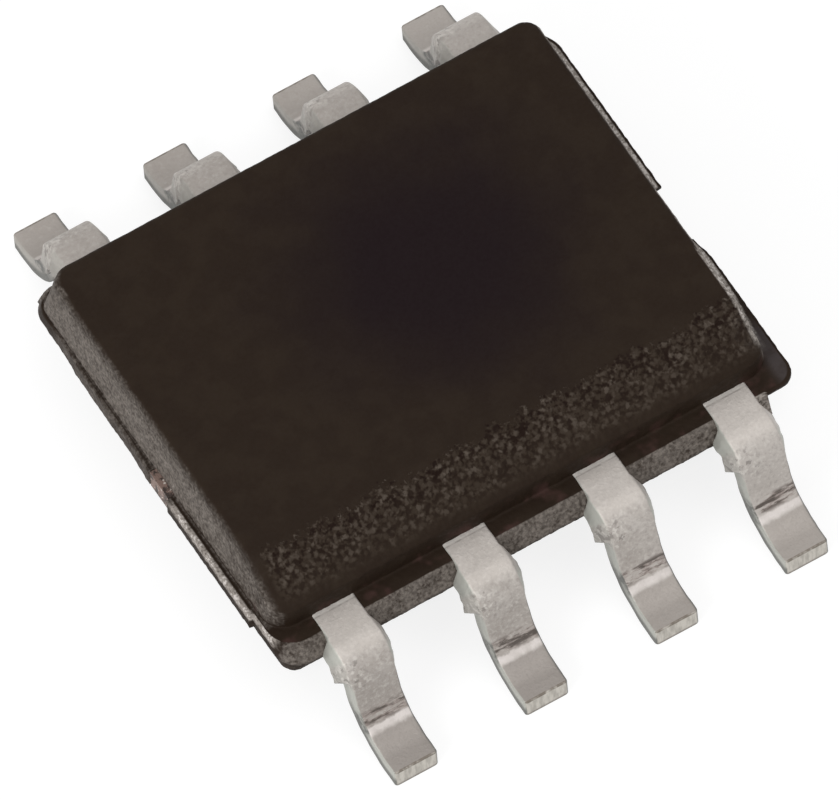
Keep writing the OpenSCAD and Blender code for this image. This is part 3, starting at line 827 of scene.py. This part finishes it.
def mould_material():
    material, tree = new_material("mould_compound")
    places = millimetres(tree)
    split = add_node(tree, "SeparateXYZ", {0: places}).outputs
    cloud = texture(tree, places, per_mm=1.2, detail=2.0)
    patches = texture(tree, places, per_mm=4.0, detail=2.0)
    pebbles = texture(tree, places, per_mm=31.0, detail=2.0, roughness=0.5)
    ripples = texture(tree, places, per_mm=9.0, detail=2.0)
    fine = texture(tree, places, per_mm=34.0)
    rust_spots = texture(tree, places, per_mm=3.0)
    depth, tone = grain_cells(tree, places)

    off_spot = add_node(tree, "VectorMath", {0: places, 1: DEEP_SPOT}, operation="DISTANCE").outputs["Value"]
    off_spot = math_of(tree, "ADD", off_spot, cloud)
    on_bevel = grained_share(tree, split, patches, pebbles)
    strength = product(tree, (split["Y"], GRAIN_STRENGTH), (ripples, GRAIN_RIPPLES))
    on_grain = product(tree, on_bevel, strength)
    # Painted shade in the grain's crevices, and painted highlights on the tops of its bumps
    grained = blend(tree, remap(tree, depth, *CREVICES), GRAIN_CREVICE_SHADE, GRAIN)
    grained = paint(tree, grained, (GRAIN_TOP_HIGHLIGHT, (depth, LIT_TOPS), (tone, LIT_TONES)))
    # The pale attribute lifts the colour through wall tone, strip and glint: paler tones and painted light
    # and highlights alike
    uneven = product(tree, read(tree, "pale"), (fine, PALE_FINE), (ripples, PALE_RIPPLES))
    wall = blend(tree, remap(tree, pebbles, *PALE_PEBBLES), WALL_DARK, WALL_PALE)
    colour = paint(
        tree, blend(tree, remap(tree, patches, *MOTTLED), COMPOUND, MOTTLE),
        (COMPOUND_DEEP, (off_spot, DEEP_REACH)),
        (RUST, read(tree, "rusty"), (rust_spots, RUST_SPOTS)),
        (GRAIN, on_bevel),
        (grained, on_grain),
        (wall, (uneven, TO_WALL)),
        (STRIP, (uneven, TO_STRIP)),
        (GLINT, (uneven, TO_GLINT)),
        (FILM, read(tree, "film"), (ripples, FILM_RIPPLES)))

    raised = product(tree, on_grain, (depth, GRAIN_RISE))
    height = math_of(tree, "ADD", raised, remap(tree, fine, *FINE_RISE))
    bump = add_node(tree, "Bump", {"Height": height, "Strength": MOULD_BUMP,
                                   "Distance": MOULD_BUMP_HEIGHT * MM})
    finish_surface(tree, {
        "Base Color": colour, "Roughness": remap(tree, fine, *MOULD_ROUGHNESS), "Normal": bump.outputs[0],
        "Specular IOR Level": MOULD_SPECULAR})
    return material


TIN_DULL, TIN, TIN_LIGHT = (0.33, 0.3, 0.275), (0.4, 0.365, 0.335), (0.46, 0.425, 0.395)
TIN_DARK, TIN_BRIGHT = (0.255, 0.23, 0.212), (0.52, 0.48, 0.445)
FLECK_AND_GLINT, PIT = (0.62, 0.59, 0.55), (0.2, 0.18, 0.165)
SHEARED_AND_LIT, SHADED_EDGE = (0.45, 0.45, 0.41), (0.13, 0.13, 0.12)
HEEL_HIGHLIGHT = (0.63, 0.585, 0.56)
SMUDGE, SMUDGE_PINK = (0.085, 0.07, 0.06), (0.26, 0.205, 0.185)
CUT_DARK, CUT_PALE, CUT_LINE_AND_SHADE = (0.4, 0.375, 0.335), (0.56, 0.53, 0.48), (0.15, 0.125, 0.1)
TORN_DARK, COPPER, BRIGHT_TEAR = (0.05, 0.036, 0.03), (0.22, 0.15, 0.125), (0.62, 0.56, 0.51)
SMEAR, CUT_DRAWN = (5.0, 16.0, 22.0), (26.0, 5.0, 5.0)
TIN_METALLIC, TIN_BUMP, TIN_BUMP_HEIGHT = 0.5, 0.3, 0.003
# Lengths from the tip: the painted shine (a highlight) and the smudge at the heel, and the torn stub at the
# shoulder
SHINE = (0.47, 0.55)
SCRAPE = (0.57, 0.73)
TORN = (1.04, 1.27)
STUB_BORDER, SCRAPE_SOFT, HEEL_SIDE_SOFT = 0.05, 0.035, 0.06
# Distances from the middle of the body: the painted glint and the mark where a lead leaves it
EXIT_GLINT = (HALF_WIDTH - FRONT_IN, HALF_WIDTH - FRONT_IN + 0.032)
EXIT_MARK = (EXIT_GLINT[1] + 0.008, EXIT_GLINT[1] + 0.014)
EXIT_SOFT = 0.006
# Ranges for remap, as for the moulding: first the plating
TIN_CLOUDS, TIN_STREAKS, FLECKED = (0.35, 0.65), (0.48, 0.66, 0.0, 0.6), (0.55, 0.72, 0.0, 0.3)
DARKER_TO_LEFT, DULL_BELOW = (-2.0, 0.8, 0.6, 0.0), (TORN[1], TORN[0], 0.2, 1.0)
LIGHTER_TO_RIGHT = (0.0, 1.6, 0.0, 0.9)
DARK_SPECKS, PALE_SPECKS = (0.46, 0.34, 0.0, 0.3), (0.54, 0.68, 0.0, 0.3)
FOOT_START, FOOT_DULL = (SHINE[0], SHINE[0] - 0.03), (-0.5, 0.5, 0.85, 0.55)
FOOT_DARK, FRONT_ROW = (-0.8, 1.4, 0.45, 0.0), (0.5, -0.5)
SHOULDER_START = (TORN[1] - 0.03, TORN[1] + 0.05)
FRONT_BRIGHT, REAR_DULL = (0.5, -0.5, 0.0, 0.5), (-0.5, 0.5, 0.0, 0.5)
TIN_ROUGHNESS, FLAKE_RISE = (0.2, 0.8, 0.5, 0.68), (0.5, 0.65)
# The stub and the heel
SHEARED_LEFT, OFF_STUB, SHEARED_FRONT = (-0.4, -0.8), (0.0, 1.0, 1.0, 0.3), (1.5, 2.2, 1.0, 0.35)
STUB_LEFT, STUB_FLECKS, STUB_PITS = (0.02, -0.12), (0.5, 0.62, 0.0, 0.55), (0.46, 0.36, 0.0, 0.7)
SHINE_WAVES, SHINE_CLOUDS = (0.3, 0.7, -0.012, 0.012), (0.3, 0.6, 0.6, 1.0)
SHINE_LOW, SHINE_HIGH = (SHINE[0] - 0.045, SHINE[0] + 0.03), (SHINE[1] + 0.014, SHINE[1] - 0.014)
FACES_UP, SCRAPE_LEFT = (0.3, 0.5), (-0.205, -0.18)
PINK_STREAKS, PINK_CLOUDS = (0.38, 0.52, 0.0, 0.8), (0.4, 0.6, 0.3, 1.0)
SMUDGE_STREAKS = (0.45, 0.6, 0.0, 0.95)
# The exit and the cut tip
GLINT_CLOUDS, MARK_STREAKS = (0.3, 0.6, 0.3, 0.8), (0.35, 0.6, 0.2, 0.8)
CUT_STRIPES, CUT_FACE, CUT_LOW = (0.35, 0.62), (0.012, 0.006), (0.78, 0.92, 0.0, 0.8)
CUT_EDGE, CUT_STREAKS = (0.022, 0.014), (0.35, 0.6, 0.2, 0.9)
CUT_EDGE_Z = (LEAD_THICKNESS - 0.02, LEAD_THICKNESS - 0.012)
# The shaded sides and the torn ends of the tie bars
RIGHT_EDGE, RIGHT_EDGE_LENGTH = (0.2, 0.222, 0.0, 0.6), (TORN[0], TORN[0] - 0.2)
LOWER_EDGE, LOWER_EDGE_LENGTH = (0.3, 0.68, 0.0, 0.9), (SCRAPE[1] + 0.15, SCRAPE[1] - 0.1, 0.25, 1.0)
HEEL_SIDE_STREAKS = (0.35, 0.6, 0.25, 0.95)
LEFT_SIDE, RIGHT_SIDE, RIGHT_FLAT = (-0.3, -0.7), (0.35, 0.7), (0.85, 0.97, 1.0, 0.3)
RIGHT_LENGTH, RIGHT_BELOW = (TORN[0] + 0.03, TORN[0] - 0.08), (0.6, 0.85)
UNDERSIDE, UNDERSIDE_FLAT = (-0.1, -0.5), (-0.8, -0.95, 1.0, 0.3)
TEAR_STREAKS, TEAR_FLAKES = (0.4, 0.55), (0.6, 0.68)
TIE_END_X = (HALF_LENGTH - 0.01, HALF_LENGTH + 0.01)


def tin_inputs(tree):
    """What the tin's colour goes by: the place on a lead, the way a face looks, and some noises."""
    places = millimetres(tree)
    split = add_node(tree, "SeparateXYZ", {0: places}).outputs
    facing = add_node(tree, "SeparateXYZ", {0: add_node(tree, "NewGeometry").outputs["Normal"]}).outputs
    return SimpleNamespace(
        places=places, x=split["X"], y=split["Y"], z=split["Z"], face_x=facing["X"], face_z=facing["Z"],
        from_tip=read(tree, "from_tip"), across=read(tree, "across"), below=read(tree, "below"),
        cloud=texture(tree, places, per_mm=5.0), fine=texture(tree, places, per_mm=48.0),
        flakes=texture(tree, places, per_mm=24.0, detail=2.0, roughness=0.5),
        streak=texture(tree, places, per_mm=14.0),
        speck=texture(tree, places, per_mm=30.0, detail=2.0, roughness=0.55))


def plating(tree, on):
    """The matte tin: darker to the left and lighter to the right, flecked and specked, with other tones at
    foot and shoulder.
    """
    leg = remap(tree, on.from_tip, *SCRAPE)
    foot = remap(tree, on.from_tip, *FOOT_START)
    shoulder = remap(tree, on.from_tip, *SHOULDER_START)
    return paint(
        tree, blend(tree, remap(tree, on.cloud, *TIN_CLOUDS), TIN, TIN_LIGHT),
        (TIN_DULL, (on.streak, TIN_STREAKS)),
        (TIN_DULL, (on.x, DARKER_TO_LEFT), (on.from_tip, DULL_BELOW)),
        (TIN_LIGHT, (on.x, LIGHTER_TO_RIGHT)),
        (FLECK_AND_GLINT, (on.flakes, FLECKED)),
        (TIN_DARK, leg, (on.speck, DARK_SPECKS)),
        (FLECK_AND_GLINT, leg, (on.speck, PALE_SPECKS)),
        (TIN_DULL, foot, (on.y, FOOT_DULL)),
        (TIN_DARK, foot, (on.x, FOOT_DARK), (on.y, FRONT_ROW)),
        (TIN_BRIGHT, shoulder, (on.y, FRONT_BRIGHT)),
        (TIN_DULL, shoulder, (on.y, REAR_DULL)))


def stub_and_heel(tree, on, colour, stub):
    """The torn stub of the web with its left sides painted paler as lit, and the painted highlight and the
    smudge at the heel.
    """
    at_stub = product(tree, stub, (on.across, STUB_LEFT))
    wavy = math_of(tree, "ADD", on.from_tip, remap(tree, on.streak, *SHINE_WAVES))
    heel_highlight = product(tree, (wavy, SHINE_LOW), (wavy, SHINE_HIGH), (on.face_z, FACES_UP))
    smear = add_node(tree, "VectorMath", {0: on.places, 1: SMEAR}, operation="MULTIPLY").outputs[0]
    scrape = texture(tree, smear, per_mm=1.0, detail=4.0, roughness=0.65)
    scraped = product(tree, band(tree, on.from_tip, *SCRAPE, SCRAPE_SOFT), (on.across, SCRAPE_LEFT))
    return paint(
        tree, colour,
        # Left-facing sides: sheared faces, painted paler as light falling on them from the left
        (SHEARED_AND_LIT, (on.face_x, SHEARED_LEFT), (stub, OFF_STUB), (on.y, SHEARED_FRONT)),
        (FLECK_AND_GLINT, at_stub, (on.flakes, STUB_FLECKS)),
        (PIT, at_stub, (on.streak, STUB_PITS)),
        # Painted highlight: a bright band on the upward faces of the heel's bend, as light caught there,
        # with some burnish
        (HEEL_HIGHLIGHT, heel_highlight, (on.cloud, SHINE_CLOUDS)),
        (SMUDGE_PINK, scraped, (scrape, PINK_STREAKS), (on.cloud, PINK_CLOUDS)),
        (SMUDGE, scraped, (scrape, SMUDGE_STREAKS)))


def exit_and_tip(tree, on, colour):
    """The painted glint and the mark where a lead leaves the moulding, and the cut face of its tip with
    painted shade along its lower part.
    """
    out = math_of(tree, "ABSOLUTE", on.y, 0.0)
    drawn = add_node(tree, "VectorMath", {0: on.places, 1: CUT_DRAWN}, operation="MULTIPLY").outputs[0]
    cut = blend(tree, remap(tree, texture(tree, drawn, per_mm=1.0), *CUT_STRIPES), CUT_DARK, CUT_PALE)
    return paint(
        tree, colour,
        # Painted highlight: a glint on the lead just outside the moulding
        (FLECK_AND_GLINT, band(tree, out, *EXIT_GLINT, EXIT_SOFT), (on.cloud, GLINT_CLOUDS)),
        (PIT, band(tree, out, *EXIT_MARK, EXIT_SOFT), (on.streak, MARK_STREAKS)),
        (cut, (on.from_tip, CUT_FACE)),
        (CUT_LINE_AND_SHADE, (on.from_tip, CUT_EDGE), (on.z, CUT_EDGE_Z), (on.streak, CUT_STREAKS)),
        # Painted shade: the lower part of the cut face darkens, as shadow under the tip's edge
        (CUT_LINE_AND_SHADE, (on.from_tip, CUT_FACE), (on.below, CUT_LOW)))


def shaded_sides(tree, on, colour, stub):
    """The darker edges, right sides and undersides of the leads."""
    lower_edge = product(tree, (on.below, LOWER_EDGE), (on.from_tip, LOWER_EDGE_LENGTH))
    heel_side = product(tree, band(tree, on.from_tip, SHINE[0], SCRAPE[1], HEEL_SIDE_SOFT),
                        (on.streak, HEEL_SIDE_STREAKS))
    lower_edge = math_of(tree, "MAXIMUM", lower_edge, heel_side)
    rightward = remap(tree, on.face_x, *RIGHT_SIDE)
    low_right = math_of(tree, "MAXIMUM", remap(tree, on.from_tip, *RIGHT_LENGTH),
                        remap(tree, on.below, *RIGHT_BELOW))
    return paint(
        tree, colour,
        (SHADED_EDGE, (on.across, RIGHT_EDGE), (on.from_tip, RIGHT_EDGE_LENGTH)),
        (SHADED_EDGE, lower_edge, (on.face_x, LEFT_SIDE)),
        # The stub's right flank is painted pale like the lit left sides
        (SHEARED_AND_LIT, rightward, stub),
        (SHADED_EDGE, rightward, low_right, (on.face_x, RIGHT_FLAT)),
        (SHADED_EDGE, (on.face_z, UNDERSIDE), (on.face_z, UNDERSIDE_FLAT)))


def tin_material():
    material, tree = new_material("tin_plate")
    on = tin_inputs(tree)
    stub = band(tree, on.from_tip, *TORN, STUB_BORDER)
    colour = plating(tree, on)
    colour = stub_and_heel(tree, on, colour, stub)
    colour = exit_and_tip(tree, on, colour)
    colour = shaded_sides(tree, on, colour, stub)
    along = math_of(tree, "ABSOLUTE", on.x, 0.0)
    torn = blend(tree, remap(tree, on.streak, *TEAR_STREAKS), TORN_DARK, COPPER)
    torn = paint(tree, torn, (BRIGHT_TEAR, (on.flakes, TEAR_FLAKES)))
    colour = paint(tree, colour, (torn, (along, TIE_END_X)))
    height = math_of(tree, "ADD", on.fine, remap(tree, on.flakes, *FLAKE_RISE))
    bump = add_node(tree, "Bump", {"Height": height, "Strength": TIN_BUMP, "Distance": TIN_BUMP_HEIGHT * MM})
    finish_surface(tree, {
        "Base Color": colour, "Metallic": TIN_METALLIC, "Roughness": remap(tree, on.fine, *TIN_ROUGHNESS),
        "Normal": bump.outputs[0]})
    return material


INNER_TONES, INNER_FINE, INNER_ROUGHER = (0.35, 0.65), (0.2, 0.8), 0.15
INNER_BUMP, INNER_BUMP_HEIGHT = 0.2, 0.002


def inner_material(name, colour, second, per_mm, metallic, roughness):
    """A hidden piece's material: two close colours in a fine pattern."""
    material, tree = new_material(name)
    places = millimetres(tree)
    pattern = texture(tree, places, per_mm)
    bump = add_node(tree, "Bump", {"Height": pattern, "Strength": INNER_BUMP,
                                   "Distance": INNER_BUMP_HEIGHT * MM})
    finish_surface(tree, {
        "Base Color": blend(tree, remap(tree, pattern, *INNER_TONES), colour, second),
        "Metallic": metallic, "Normal": bump.outputs[0],
        "Roughness": remap(tree, pattern, *INNER_FINE, roughness, roughness + INNER_ROUGHER)})
    return material


def put_on(piece, material):
    piece.data.materials.clear()
    piece.data.materials.append(material)


# The floor, the light and the camera
def background_rays(tree):
    """1 for what the camera sees by itself, in a reflection or through glass."""
    path = add_node(tree, "LightPath")
    seen = math_of(tree, "MAXIMUM", path.outputs["Is Camera Ray"], path.outputs["Is Glossy Ray"])
    return math_of(tree, "MAXIMUM", seen, path.outputs["Is Transmission Ray"])


FLOOR_HALF = 400.0
FLOOR_WHITE = (0.9, 0.9, 0.9)
FLOOR_GLOW = 0.82
FLOOR_LIT = 0.26


def make_floor():
    corners = [(x, y, 0.0) for x, y in ((-1, -1), (1, -1), (1, 1), (-1, 1))]
    floor = mesh_piece("floor", np.array(corners) * FLOOR_HALF, [(0, 1, 2, 3)])
    material, tree = new_material("floor_white")
    seen = background_rays(tree)
    lit = add_node(tree, "BsdfDiffuse", {"Color": blend(
        tree, seen, FLOOR_WHITE, tuple(FLOOR_LIT * v for v in FLOOR_WHITE))})
    glow = add_node(tree, "Emission", {"Strength": math_of(tree, "MULTIPLY", seen, FLOOR_GLOW)})
    both = add_node(tree, "AddShader", {0: lit.outputs[0], 1: glow.outputs[0]})
    output = add_node(tree, "OutputMaterial")
    tree.links.new(both.outputs[0], output.inputs["Surface"])
    put_on(floor, material)


WORLD_LIGHT = 0.6
# Each lamp's place and size in millimetres, and its power in watts
LAMPS = {"key": ((-34, -14, 22), 20, 0.008), "fill": ((6, -10, 45), 40, 0.006)}


def make_world():
    world = bpy.data.worlds.new("studio")
    bpy.context.scene.world = world
    world.use_nodes = True
    tree = world.node_tree
    tree.nodes.clear()
    seen = background_rays(tree)
    strength = remap(tree, seen, 0.0, 1.0, WORLD_LIGHT, 1.0)
    back = add_node(tree, "Background", {"Color": (1.0, 1.0, 1.0, 1.0), "Strength": strength})
    output = add_node(tree, "OutputWorld")
    tree.links.new(back.outputs[0], output.inputs["Surface"])


def add_lamp(name, place, size, power):
    """A square soft lamp at a place in millimetres, turned to the object."""
    data = bpy.data.lights.new(name, "AREA")
    data.size = size * MM
    data.energy = power
    lamp = bpy.data.objects.new(name, data)
    lamp.location = Vector(place) * MM
    lamp.rotation_euler = (-lamp.location).to_track_quat("-Z", "Y").to_euler()
    bpy.context.scene.collection.objects.link(lamp)


AZIMUTH, ELEVATION, ROLL = (math.radians(angle) for angle in (-26.33, 58.66, -5.4))
PIXELS_PER_MM = 119.44
PICTURE_WIDTH, PICTURE_HEIGHT = 839, 800
ORIGIN_PIXEL = (418.75, 400.95)
LENS, SENSOR = 1600.0, 36.0
CLIP_START, CLIP_END = 0.05, 2.0
MIDDLE_HEIGHT = 0.8


def make_camera():
    """A camera far away, rolled a little, that puts the origin at its place in the picture."""
    right = Vector((math.cos(AZIMUTH), math.sin(AZIMUTH), 0.0))
    back = Vector((math.sin(AZIMUTH) * math.cos(ELEVATION), -math.cos(AZIMUTH) * math.cos(ELEVATION),
                   math.sin(ELEVATION)))
    up = back.cross(right)
    across = math.cos(ROLL) * right + math.sin(ROLL) * up
    upward = math.cos(ROLL) * up - math.sin(ROLL) * right
    distance = LENS / SENSOR * PICTURE_WIDTH / PIXELS_PER_MM
    aim = across * ((PICTURE_WIDTH / 2 - ORIGIN_PIXEL[0]) / PIXELS_PER_MM)
    aim += upward * ((ORIGIN_PIXEL[1] - PICTURE_HEIGHT / 2) / PIXELS_PER_MM)
    aim += back * (MIDDLE_HEIGHT * back.z)
    data = bpy.data.cameras.new("camera")
    data.lens, data.sensor_width = LENS, SENSOR
    data.clip_start, data.clip_end = CLIP_START, CLIP_END
    camera = bpy.data.objects.new("camera", data)
    turn = Matrix((across, upward, back)).transposed().to_4x4()
    camera.matrix_world = Matrix.Translation((aim + back * distance) * MM) @ turn
    bpy.context.scene.collection.objects.link(camera)
    bpy.context.scene.camera = camera


make_camera()
body = make_body()
put_on(body, mould_material())
tin = tin_material()
for lead_frame in make_lead_frames():
    put_on(lead_frame, tin)
inner = {
    "silicon_die": inner_material("silicon", (0.09, 0.11, 0.14), (0.14, 0.16, 0.19), 12.0, 0.3, 0.25),
    "die_solder": inner_material("solder", (0.24, 0.25, 0.27), (0.32, 0.33, 0.34), 25.0, 0.9, 0.4),
    "wire": inner_material("bond_wire", (0.58, 0.60, 0.63), (0.68, 0.69, 0.71), 60.0, 1.0, 0.25),
}
for node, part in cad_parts.items():
    if not part.hide_render:
        put_on(part, inner.get(node, inner["wire"]))
make_floor()
make_world()
for lamp_name, (lamp_place, lamp_size, lamp_power) in LAMPS.items():
    add_lamp(lamp_name, lamp_place, lamp_size, lamp_power)
bpy.context.scene.view_settings.view_transform = "Standard"
